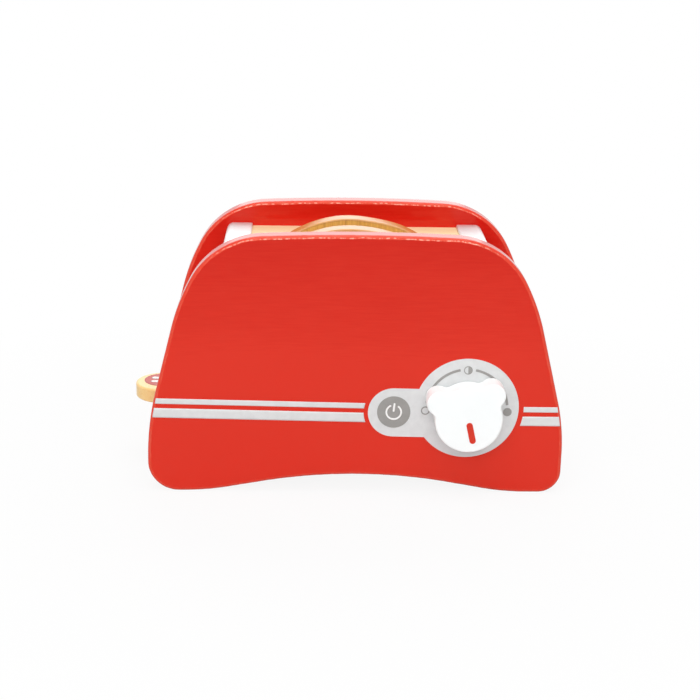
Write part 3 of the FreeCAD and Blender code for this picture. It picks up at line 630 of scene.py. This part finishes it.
red_ink = plain_print("red_ink", (0.52, 0.078, 0.063))
dark_red_ink = plain_print("dark_red_ink", (0.36, 0.045, 0.050))
white_ink = plain_print("white_ink", (0.90, 0.89, 0.86))
line_ink = plain_print("line_ink", (0.30, 0.24, 0.26))
badge_layers = [
    ("line", polar(FULL_TURN, BADGE_RADIUS), dark_red_ink, "red_print", 1, None),
    ("disc", polar(FULL_TURN, BADGE_RADIUS - BADGE_LINE), red_ink, "red_print", 2, "lever_badge")]
for label, shift, node in (("near", -BAR_OFFSET, "lever_badge_bars"), ("far", BAR_OFFSET, None)):
    bar = pill_outline(*BAR_HALVES) + (0.0, shift)
    bar_line = pill_outline(*(BAR_HALVES + BAR_LINE)) + (0.0, shift)
    badge_layers.append(("bar_line_" + label, bar_line, line_ink, "white_print", 3, None))
    badge_layers.append(("bar_" + label, bar, white_ink, "white_print", 4, node))
for name, outline, ink, slot_name, layers, node in badge_layers:
    middle = BADGE + 0.5 * (outline.min(0) + outline.max(0))
    top = lever_high[2] + layers * BADGE_LAYER
    shape = slab(BADGE + outline, lever_high[2], top, INK_EDGE, middle, Y_AXIS)
    add_piece("lever_badge_" + name, shape, ink, "lift", node)

# ---- bread slices --------------------------------------------------------------------
# Two loose slices sawn from 11 mm board: flat foot, domed top. The faces are stained golden brown,
# with painted shade as a darker rim along their edge, and the sawn edge is left in the wood's own
# warm tone.
SLICE_CENTRE_X = -1.0 * MM
SLICE_HALF = 50.0 * MM
SLICE_DOME = 72.0 * MM
SLICE_SHOULDER = 10.0 * MM
SLICE_FOOT_ROUND = 6.0 * MM
SLICE_EDGE = 0.9 * MM
SLICE_SKIN = 0.15 * MM  # points this near a face take its stain
SAG_START, SAG_RUN = 30 * MM, 20 * MM  # below the top, and how far up it grows
TOAST_PALE, TOAST_WARM = (0.74, 0.430, 0.100), (0.57, 0.290, 0.052)
# The rim colour is painted shade along the edge of each face.
TOAST_STREAK, TOAST_RIM_SHADE = (0.38, 0.18, 0.040), (0.40, 0.18, 0.045)
TOAST_EDGE_PALE, TOAST_EDGE_DARK = (0.64, 0.31, 0.085), (0.56, 0.245, 0.055)


def arc(centre, radius, start, end, spacing=1.0 * MM):
    """Points on a circle from one angle to another, without the last one."""
    count = max(4, int(abs(end - start) * radius / spacing) + 1)
    return np.asarray(centre) + polar(np.linspace(start, end, count)[:-1], radius)


def straight(start, end, spacing=1.5 * MM):
    """Points on a line from start to end, without the last one."""
    start, end = np.asarray(start, float), np.asarray(end, float)
    count = max(2, int(np.linalg.norm(end - start) / spacing) + 1)
    return start + (end - start) * np.linspace(0, 1, count)[:-1, None]


def bread_outline(foot, top):
    """Foot, rounded foot corners, straight sides, shoulder arcs and one domed arc."""
    side_x = SLICE_HALF - SLICE_SHOULDER
    dome_z = top - SLICE_DOME
    shoulder_z = dome_z + math.sqrt((SLICE_DOME - SLICE_SHOULDER) ** 2 - side_x ** 2)
    meet = math.atan2(shoulder_z - dome_z, side_x)
    foot_x = SLICE_HALF - SLICE_FOOT_ROUND
    foot_z = foot + SLICE_FOOT_ROUND
    return np.concatenate([
        straight((-foot_x, foot), (foot_x, foot)),
        arc((foot_x, foot_z), SLICE_FOOT_ROUND, -math.pi / 2, 0),
        straight((SLICE_HALF, foot_z), (SLICE_HALF, shoulder_z)),
        arc((side_x, shoulder_z), SLICE_SHOULDER, 0, meet),
        arc((0, dome_z), SLICE_DOME, meet, math.pi - meet),
        arc((-side_x, shoulder_z), SLICE_SHOULDER, math.pi - meet, math.pi),
        straight((-SLICE_HALF, shoulder_z), (-SLICE_HALF, foot_z)),
        arc((-foot_x, foot_z), SLICE_FOOT_ROUND, math.pi, 1.5 * math.pi),
    ]) + (SLICE_CENTRE_X, 0.0)


def toasted_wood():
    """Stained faces with fibres and long streaks, painted shade as a darker uneven rim along the
    faces' edge, and a warm sawn edge where from_edge, the way to the outline in mm, is 0."""
    finish, shader = new_finish("toasted_wood", (0.6, 0.33, 0.09), 0.5)
    from_edge = point_value(finish, "from_edge")
    fibres = noise(finish, (1100, 1100, 70), 4.0, 0.65)
    streaks = map_range(finish, noise(finish, (520, 520, 14), 2.0), 0.60, 0.72, 0.0, 0.55)
    face = ramp(finish, fibres, [(0.32, TOAST_WARM), (0.62, TOAST_PALE)])
    face = mix(finish, streaks, face, TOAST_STREAK)
    # Painted shade: a darker rim along the face's edge, where the rounded edge turns the light away.
    shade_rim_place = combine(finish, "MULTIPLY_ADD", noise(finish, 120, 2.0), 0.5, from_edge)
    face = mix(finish, map_range(finish, shade_rim_place, 1.15, 1.75, 0.5, 0.0), face, TOAST_RIM_SHADE)
    sawn = ramp(finish, noise(finish, (70, 1100, 1100), 4.0, 0.6),
                [(0.32, TOAST_EDGE_DARK), (0.62, TOAST_EDGE_PALE)])
    on_face = map_range(finish, from_edge, 0.35, 0.65, 0.0, 1.0)
    feed(mix(finish, on_face, sawn, face), shader.inputs["Base Color"])
    gloss = map_range(finish, from_edge, 0.35, 0.65, 0.20, 0.48)
    feed(gloss, shader.inputs["Roughness"])
    bump(finish, shader, fibres, 0.10 * MM)
    return finish


def front_sag(u):
    """A soft step: the dome lies lower to the right of its middle. u is in mm."""
    return 1.25 * (0.5 + 0.5 * np.tanh((u + 5) / 14))


def rear_sag(u):
    """A shallow bell-shaped hollow to the right of the middle. u is in mm."""
    return 1.0 * np.exp(-((u - 12) / 15) ** 2)


toast = toasted_wood()
for body, node, sag in (("front_slice", "front_bread_slice", front_sag),
                        ("rear_slice", "rear_bread_slice", rear_sag)):
    low, high = box(node)
    outline = bread_outline(low[2], high[2])
    middle = (SLICE_CENTRE_X, 0.5 * (low[2] + high[2]))
    points, faces = slab(outline, -high[1], -low[1], SLICE_EDGE, middle)
    gap = np.linalg.norm(points[:, None, ::2] - outline[None], axis=2).min(1) / MM
    on_face = np.minimum(points[:, 1] - low[1], high[1] - points[:, 1]) < SLICE_SKIN
    dome = np.clip((points[:, 2] - high[2] + SAG_START) / SAG_RUN, 0, 1)
    points[:, 2] -= dome * sag((points[:, 0] - SLICE_CENTRE_X) / MM) * MM
    bread = add_piece(node + "_sawn", (points, faces), toast, body, node)
    mark_points(bread, "from_edge", np.where(on_face, np.maximum(gap, 0.5), 0.0))

# ---- stripes and control print -------------------------------------------------------
# Pale silver film on the front panel: two stripes on each side of a round dial plate that
# runs out into a short tab at the left. The stripes lap a little over the rounded edge.
FILM = 0.20 * MM
FILM_EDGE = 0.03 * MM
DIAL = mm(63.1, 52.5)
PLATE = DIAL + mm(0.1, -0.25)
PLATE_RADIUS = 29.9 * MM
TAB = mm(21.15, 49.4)
TAB_RADIUS = 14.65 * MM
PRINT_TILT = math.radians(-0.95)
STRIPE_WIDTHS = (3.2 * MM, 5.7 * MM)
STRIPE_SPACE = 2.65 * MM
STRIPE_END_INSET = 1.2 * MM
STRIPE_PAST, STRIPE_UNDER = 2.0 * MM, 8.0 * MM  # how far it is drawn on, before its ends are cut
STRIPE_ROWS, STRIPE_STEPS, CUT_STEPS = 7, 121, 2001
STRIPES = [  # side, outwards, inner upper corner, tilt, then what it stops short of
    ("left", -1, mm(5.0, 54.97), PRINT_TILT, TAB, TAB_RADIUS + 2.4 * MM),
    ("right", 1, mm(95.5, 53.3), math.radians(-0.2), PLATE, PLATE_RADIUS + 2.9 * MM)]
PANEL_REACH = panel_outline[:, 0].max()
SIDE_LOW, SIDE_HIGH, SIDE_IN = 10 * MM, 110 * MM, 80 * MM  # bounds of the panel's right flank
panel_face = box("front_panel")[0][1]
silver_film = plain_print("silver_film", (0.700, 0.712, 0.714), 0.36, 0.45)
flank = panel_outline[(panel_outline[:, 0] > SIDE_IN) & (panel_outline[:, 1] > SIDE_LOW)
                      & (panel_outline[:, 1] < SIDE_HIGH)]
flank = flank[np.argsort(flank[:, 1])]


def edge_distance(spots):
    """Shortest way from each (x, z) spot to the panel's outline."""
    return np.linalg.norm(spots[..., None, :] - panel_outline, axis=-1).min(-1)


def signed_edge(spots):
    """Edge distance, and -1 for spots outside the panel's flanks."""
    level = np.interp(spots[..., 1], flank[:, 1], flank[:, 0])
    return np.where(np.abs(spots[..., 0]) < level, edge_distance(spots), -1.0)


def trimmed(start, end, distance, wanted):
    """Each row's start, moved towards its end to where distance first reaches wanted."""
    t = np.linspace(0, 1, CUT_STEPS)[:, None]
    rows = start[:, None] + (end - start)[:, None] * t
    hit = np.argmax(distance(rows) >= wanted, axis=1)
    return rows[np.arange(len(rows)), hit]


def stripe_sheet(outer, inner, width, stop, clear):
    """Grid of (x, z) spots, u along the stripe and v down across it. Each row of constant v
    runs from just inside the panel's edge to where it comes within clear of stop."""
    drop = np.linspace(0, 1, STRIPE_ROWS)[:, None] * (0.0, -width)
    start, end = outer + drop, inner + drop
    first = trimmed(start, end, signed_edge, STRIPE_END_INSET)
    last = trimmed(end, start, lambda spots: np.linalg.norm(spots - stop, axis=-1), clear)
    return first + (last - first) * np.linspace(0, 1, STRIPE_STEPS)[:, None, None]


def add_film(name, spots, node):
    """A closed film over a grid of spots, lying on the panel's face and its rounded edge."""
    y = panel_face + round_fall(PANEL_ROUND - edge_distance(spots), PANEL_ROUND)
    grid = np.stack([spots[..., 0], y, spots[..., 1]], -1)
    shape = grid.reshape(-1, 3), grid_quads(*spots.shape[:2]).tolist()
    film = add_piece(name, shape, silver_film, "housing", node)
    if film.data.polygons[len(film.data.polygons) // 2].normal[1] > 0:
        film.data.flip_normals()
    thick = film.modifiers.new("film", "SOLIDIFY")
    thick.thickness = FILM
    thick.offset = 1.0


for side, hand, corner, tilt, stop, clear in STRIPES:
    outer_x, inner_x = hand * (PANEL_REACH + STRIPE_PAST), corner[0] - hand * STRIPE_UNDER
    z = corner[1]
    for count, width in enumerate(STRIPE_WIDTHS):
        outer, inner = ((x, z + math.tan(tilt) * (x - corner[0])) for x in (outer_x, inner_x))
        spots = stripe_sheet(outer, inner, width, stop, clear)
        add_film("stripe_%s_%d" % (side, count + 1), spots,
                 None if count else side + "_stripe_prints")
        z -= width + STRIPE_SPACE


def plate_outline():
    """From the middle of the dial plate, each direction reaches its circle or the tab's
    border, whichever is further. The tab's border is two straight sides and a round end."""
    angle = np.linspace(0, 2 * math.pi, 1441)[:-1]
    tab_axis, tab_side = polar(PRINT_TILT), polar(PRINT_TILT + math.pi / 2)
    tab_along, tab_across = (TAB - PLATE) @ tab_axis, (TAB - PLATE) @ tab_side
    along, across = polar(angle) @ tab_axis, polar(angle) @ tab_side
    with np.errstate(divide="ignore", invalid="ignore"):
        side = (tab_across + np.where(across > 0, TAB_RADIUS, -TAB_RADIUS)) / across
    b = along * tab_along + across * tab_across
    c = tab_along ** 2 + tab_across ** 2 - TAB_RADIUS ** 2
    round_end = np.where(b * b > c, b + np.sqrt(np.maximum(b * b - c, 0)), 0.0)
    reach = np.where(side * along > tab_along, side, round_end)
    return PLATE + polar(angle, np.maximum(PLATE_RADIUS, np.where(along < 0, reach, 0.0)))


shape = slab(plate_outline(), -panel_face, -panel_face + FILM, FILM_EDGE, PLATE)
add_piece("dial_plate_film", shape, silver_film, "housing", "control_print")

# ---- printed power button and dial scale ---------------------------------------------
# Grey and off-white ink on the dial plate: a round button with an open circle and a stem,
# and round the dial two arcs between an open, a half-filled and a full dot.
INK_LAYER = 0.15 * MM
BUTTON = mm(21.3, 49.73)
BUTTON_RADIUS = 9.55 * MM
SYMBOL_RADIUS, SYMBOL_HALF = 4.25 * MM, 0.5 * MM
STEM = BUTTON + mm([-0.1, 0.75], [0.12, 2.85], [0.34, 4.95])
STEM_HALF = 0.55 * MM
SCALE_RADIUS, SCALE_HALF, SCALE_END = 23.25 * MM, 0.7 * MM, 0.12
DOT_RADIUS = 2.5 * MM
OPEN_LINE_HALF, HALF_LINE_HALF, HALF_LINE_INSET = 0.3 * MM, 0.22 * MM, 0.25 * MM
STROKE_TIP = 0.01 * MM  # half width left at a stroke's very end
OPEN_DOT = DIAL + mm(-23.7, -1.75)
HALF_DOT = DIAL + mm(0.05, 22.8)
FULL_DOT = DIAL + mm(23.5, -2.3)
INKS = {"grey_print": plain_print("grey_ink", (0.318, 0.312, 0.298)),
        "white_print": plain_print("symbol_ink", (0.93, 0.92, 0.91))}


def add_ink(name, outline, middle, slot_name, node=None):
    """A patch of ink on the dial plate."""
    base = -panel_face + FILM
    shape = slab(outline, base, base + INK_LAYER, INK_EDGE, middle)
    add_piece(name, shape, INKS[slot_name], "housing", node)


def add_stroke(name, path, half_width, slot_name, node=None, level=0, end=1.0):
    """Ink line, level layers up: half_width to each side of a path, as a grid along it.
    v crosses the line; at each end the rows close in a half circle, end times as long."""
    along = unit(np.gradient(path, axis=0))
    side = np.stack([-along[:, 1], along[:, 0]], 1)
    cap = np.linspace(0, math.pi / 2, 7)
    head = path[0] - along[0] * half_width * end * np.cos(cap)[:, None]
    tail = path[-1] + along[-1] * half_width * end * np.sin(cap[1:])[:, None]
    middle = np.concatenate([head, path[1:], tail])
    reach = half_width * np.concatenate([np.sin(cap), np.ones(len(path) - 1), np.cos(cap[1:])])
    reach = np.maximum(reach, STROKE_TIP)
    sides = np.concatenate([np.repeat(side[:1], len(cap), 0), side[1:],
                            np.repeat(side[-1:], len(cap) - 1, 0)])
    flat = middle[:, None] + sides[:, None] * (reach[:, None, None] * np.linspace(-1, 1, 5)[:, None])
    base = panel_face - FILM - level * INK_LAYER
    low = np.stack([flat[..., 0], np.full(flat.shape[:2], base), flat[..., 1]], -1).reshape(-1, 3)
    rows, cols = flat.shape[:2]
    top = rows * cols
    under = grid_quads(rows, cols)
    over = top + under[:, [0, 3, 2, 1]]
    rim = np.concatenate([np.arange(rows) * cols, (rows - 1) * cols + np.arange(1, cols),
                          np.arange(rows - 2, -1, -1) * cols + cols - 1,
                          np.arange(cols - 2, 0, -1)])
    ahead = np.roll(rim, -1)
    rim_faces = np.stack([rim, ahead, top + ahead, top + rim], 1)
    shape = (np.concatenate([low, low - (0, INK_LAYER, 0)]),
             np.concatenate([under, over, rim_faces]).tolist())
    add_piece(name, shape, INKS[slot_name], "housing", node)


def ring_path(centre, radius, start, end):
    """Points on a circle between two angles in degrees, from +X towards +Z."""
    angle = np.radians(np.linspace(start, end, max(12, int(abs(end - start) / 3))))
    return centre + polar(angle, radius)


add_ink("power_button_disc", BUTTON + polar(FULL_TURN, BUTTON_RADIUS), BUTTON, "grey_print",
        "power_button_print")
add_stroke("power_symbol_circle", ring_path(BUTTON, SYMBOL_RADIUS, 118, 411), SYMBOL_HALF,
           "white_print", "power_symbol_print", level=1)
add_stroke("power_symbol_stem", STEM, STEM_HALF, "white_print", level=1)
for side, start, end, node in (("right", 5, 79, "dial_scale_print"), ("left", 101, 172, None)):
    add_stroke("scale_arc_" + side, ring_path(DIAL, SCALE_RADIUS, start, end), SCALE_HALF,
               "grey_print", node, end=SCALE_END)
add_stroke("scale_dot_open", ring_path(OPEN_DOT, DOT_RADIUS - OPEN_LINE_HALF, 0, 357),
           OPEN_LINE_HALF, "grey_print")
add_stroke("scale_dot_half_line", ring_path(HALF_DOT, DOT_RADIUS - HALF_LINE_INSET, 92, 268),
           HALF_LINE_HALF, "grey_print")
half_round = polar(np.linspace(-math.pi / 2, math.pi / 2, 60), DOT_RADIUS)
half_flat = np.linspace(DOT_RADIUS, -DOT_RADIUS, 22)[1:-1, None] * (0.0, 1.0)
add_ink("scale_dot_half", HALF_DOT + np.concatenate([half_round, half_flat]),
        HALF_DOT + (0.4 * DOT_RADIUS, 0.0), "grey_print")
add_ink("scale_dot_full", FULL_DOT + polar(FULL_TURN, DOT_RADIUS), FULL_DOT, "grey_print")

# ---- knob ----------------------------------------------------------------------------
# A disc with two round lobes, sawn from 13 mm wood, rounded at the edges and painted gloss
# white. It turns on a dowel through the front panel. A red pointer is printed on its face.
KNOB_RADIUS = 19.3 * MM
KNOB_MIDDLE = mm(-0.3, -2.85)  # body circle, from the bore
LOBE_RADIUS = 7.15 * MM
LOBE_DISTANCE = 19.6 * MM
LOBE_ANGLE = math.radians(51.5)
HOLLOW_RADIUS = 4.1 * MM
KNOB_EDGE = 1.0 * MM
KNOB_STEP = 0.35 * MM  # between points
KNOB_TURN = math.radians(8.8)
POINTER_NEAR, POINTER_FAR, POINTER_HALF = 4.05 * MM, 16.95 * MM, 1.8 * MM
POINTER_LEAN = math.radians(4.2)
POINTER_EDGE = 0.05 * MM


def knob_outline():
    """Body circle, hollow arcs and lobes. The hollow arcs' centres lie body + hollow radius
    from the body's centre and lobe + hollow radius from the lobe's, by the law of cosines."""
    far = KNOB_RADIUS + HOLLOW_RADIUS
    near = LOBE_RADIUS + HOLLOW_RADIUS
    spread = math.acos((far ** 2 + LOBE_DISTANCE ** 2 - near ** 2) / (2 * far * LOBE_DISTANCE))
    lobe_dir = math.pi / 2 - LOBE_ANGLE
    low_dir, top_dir = lobe_dir - spread, lobe_dir + spread
    lobe, low, top = polar(lobe_dir, LOBE_DISTANCE), polar(low_dir, far), polar(top_dir, far)
    low_to_lobe, top_to_lobe = heading(lobe - low), heading(lobe - top)
    right = np.concatenate([
        arc((0, 0), KNOB_RADIUS, -math.pi / 2, low_dir, KNOB_STEP),
        arc(low, HOLLOW_RADIUS, low_dir + math.pi, low_to_lobe, KNOB_STEP),
        arc(lobe, LOBE_RADIUS, low_to_lobe - math.pi, top_to_lobe + math.pi, KNOB_STEP),
        arc(top, HOLLOW_RADIUS, top_to_lobe, top_dir - math.pi, KNOB_STEP),
        arc((0, 0), KNOB_RADIUS, top_dir, math.pi / 2, KNOB_STEP),
    ])
    left = right[::-1][:-1] * (-1.0, 1.0)
    whole = np.concatenate([right, [[0.0, KNOB_RADIUS]], left]) + KNOB_MIDDLE
    c, s = polar(KNOB_TURN)
    return whole @ np.array([[c, s], [-s, c]]) + DIAL


def pointer_outline(middle):
    """A pill along the pointer's own direction, which leans a little out of the knob's."""
    side = KNOB_TURN + POINTER_LEAN
    pill = pill_outline(0.5 * (POINTER_FAR - POINTER_NEAR), POINTER_HALF)
    return middle + pill[:, :1] * polar(side - math.pi / 2) + pill[:, 1:] * polar(side)


def gloss_white():
    """Thick gloss paint with a faint cloudy tone. Its white carries a slight cool tint, painted in
    against the red light that the front panel throws on it.
    """
    finish, shader = new_finish("knob_white_gloss", (0.92, 0.955, 0.955), 0.30, 0.18)
    tone = ramp(finish, noise(finish, 60), [(0.3, (0.91, 0.945, 0.945)), (0.7, (0.93, 0.965, 0.965))])
    feed(tone, shader.inputs["Base Color"])
    bump(finish, shader, noise(finish, 500, 2.0), 0.05 * MM)
    return finish


knob_low, knob_high = box("knob")
shape = slab(knob_outline(), -knob_high[1], -knob_low[1], KNOB_EDGE, DIAL)
add_piece("knob_two_lobes", shape, gloss_white(), "dial", "knob")
pointer_ink = plain_print("pointer_ink", (0.66, 0.034, 0.014), 0.34, 0.3)
pointer_middle = DIAL + polar(KNOB_TURN - math.pi / 2, 0.5 * (POINTER_NEAR + POINTER_FAR))
shape = slab(pointer_outline(pointer_middle), -knob_low[1], -knob_low[1] + FILM, POINTER_EDGE,
             pointer_middle)
add_piece("knob_pointer_mark", shape, pointer_ink, "dial", "knob_pointer")

# ---- floor, sky and lamps ------------------------------------------------------------
# A pale studio floor that turns white away from the object, under an even white sky. Two
# large soft lamps stand behind, a large one and a narrow strip in front, and one overhead.
FLOOR_REACH = 1.7
FLOOR_GREY = (0.70, 0.70, 0.70)
FLOOR_WHITE = [  # ray, then metres from near to far, and how white it is at near
    ("Is Camera Ray", 0.13, 0.36, 0.90), ("Is Glossy Ray", 0.50, 0.75, 0.0)]
SKY_STRENGTH = 0.42
LAMP_AIM = np.array([0.0, 0.0, 0.12])
LAMPS = [  # name, place in metres, width, height, watts
    ("rear_softbox", (0.0, 1.50, 0.64), 2.2, 0.62, 5.0),
    ("rear_high_softbox", (0.2, 1.35, 1.75), 2.6, 1.0, 11.0),
    ("front_softbox", (-0.2, -1.65, 1.35), 2.8, 1.5, 15.8),
    ("front_strip", (-0.2, -1.45, 0.98), 2.0, 0.10, 7.0),
    ("overhead_softbox", (0.0, -0.3, 1.7), 1.2, 0.8, 12.0)]

floor_finish = bpy.data.materials.new("studio_floor")
floor_finish.use_nodes = True
floor_finish.node_tree.nodes.clear()
floor_grey = new_node(floor_finish, "BsdfDiffuse", {"Color": FLOOR_GREY})
floor_white = new_node(floor_finish, "Emission", {"Color": WHITE})
floor_way = new_node(floor_finish, "VectorMath", {0: spot(floor_finish)}, operation="LENGTH")
floor_rays = new_node(floor_finish, "LightPath")
floor_shares = []
for ray, near, far, share in FLOOR_WHITE:
    whiter = map_range(floor_finish, floor_way.outputs["Value"], near, far, share, 1.0)
    floor_shares.append(combine(floor_finish, "MULTIPLY", floor_rays.outputs[ray], whiter))
floor_share = combine(floor_finish, "ADD", *floor_shares)
floor_mix = new_node(floor_finish, "MixShader", {0: floor_share, 1: floor_grey.outputs[0],
                                                 2: floor_white.outputs[0]})
new_node(floor_finish, "OutputMaterial", {"Surface": floor_mix.outputs[0]})
floor_corners = FLOOR_REACH * np.array([[-1, -1, 0], [1, -1, 0], [1, 1, 0], [-1, 1, 0]])
add_mesh("studio_floor", floor_corners, [[0, 1, 2, 3]], floor_finish)

world = bpy.data.worlds.new("studio_sky")
scene.world = world
world.use_nodes = True
sky_light = world.node_tree.nodes["Background"]
feed(WHITE, sky_light.inputs["Color"])
feed(SKY_STRENGTH, sky_light.inputs["Strength"])
sky_white = new_node(world, "Background", {"Color": WHITE})
sky_rays = new_node(world, "LightPath").outputs
sky_seen = combine(world, "MAXIMUM", sky_rays["Is Camera Ray"], sky_rays["Is Glossy Ray"])
sky_mix = new_node(world, "MixShader", {0: sky_seen, 1: sky_light.outputs[0],
                                        2: sky_white.outputs[0]})
feed(sky_mix.outputs[0], world.node_tree.nodes["World Output"].inputs["Surface"])


def stand(thing, right, up, back, place):
    """Stands a lamp or the camera at place, its own axes along right, up and back."""
    scene.collection.objects.link(thing)
    matrix = np.eye(4)
    matrix[:3] = np.stack([right, up, back, place], 1)
    thing.matrix_world = Matrix(matrix.tolist())


for name, place, width, height, power in LAMPS:
    light = bpy.data.lights.new(name, "AREA")
    light.shape = "RECTANGLE"
    light.size, light.size_y, light.energy = width, height, power
    lamp = bpy.data.objects.new(name, light)
    lamp.visible_camera = False
    back = unit(np.array(place) - LAMP_AIM)
    right = unit(np.cross(Z_AXIS, back))
    stand(lamp, right, np.cross(back, right), back, place)

# ---- camera --------------------------------------------------------------------------
# It stands 0.86 m in front of the housing's middle and 0.35 m up, a little to the left. It
# looks slightly down and to the right, through a 77 mm lens.
FOCAL_PIXELS = 1501.77
PICTURE_PIXELS = 700
CAMERA_PLACE = mm(-31.04, -858.3, 346.84)
YAW, PITCH, ROLL = (math.radians(a) for a in (1.8895, 17.846, 1.058))
forward = np.array([math.sin(YAW) * math.cos(PITCH), math.cos(YAW) * math.cos(PITCH),
                    -math.sin(PITCH)])
level = np.array([math.cos(YAW), -math.sin(YAW), 0.0])
upward = np.cross(level, forward)
camera_data = bpy.data.cameras.new("camera")
camera_data.sensor_width = 36.0
camera_data.lens = camera_data.sensor_width * FOCAL_PIXELS / PICTURE_PIXELS
camera = bpy.data.objects.new("camera", camera_data)
stand(camera, math.cos(ROLL) * level + math.sin(ROLL) * upward,
      -math.sin(ROLL) * level + math.cos(ROLL) * upward, -forward, CAMERA_PLACE + HOUSING_MIDDLE)
scene.camera = camera
scene.view_settings.view_transform = "Standard"
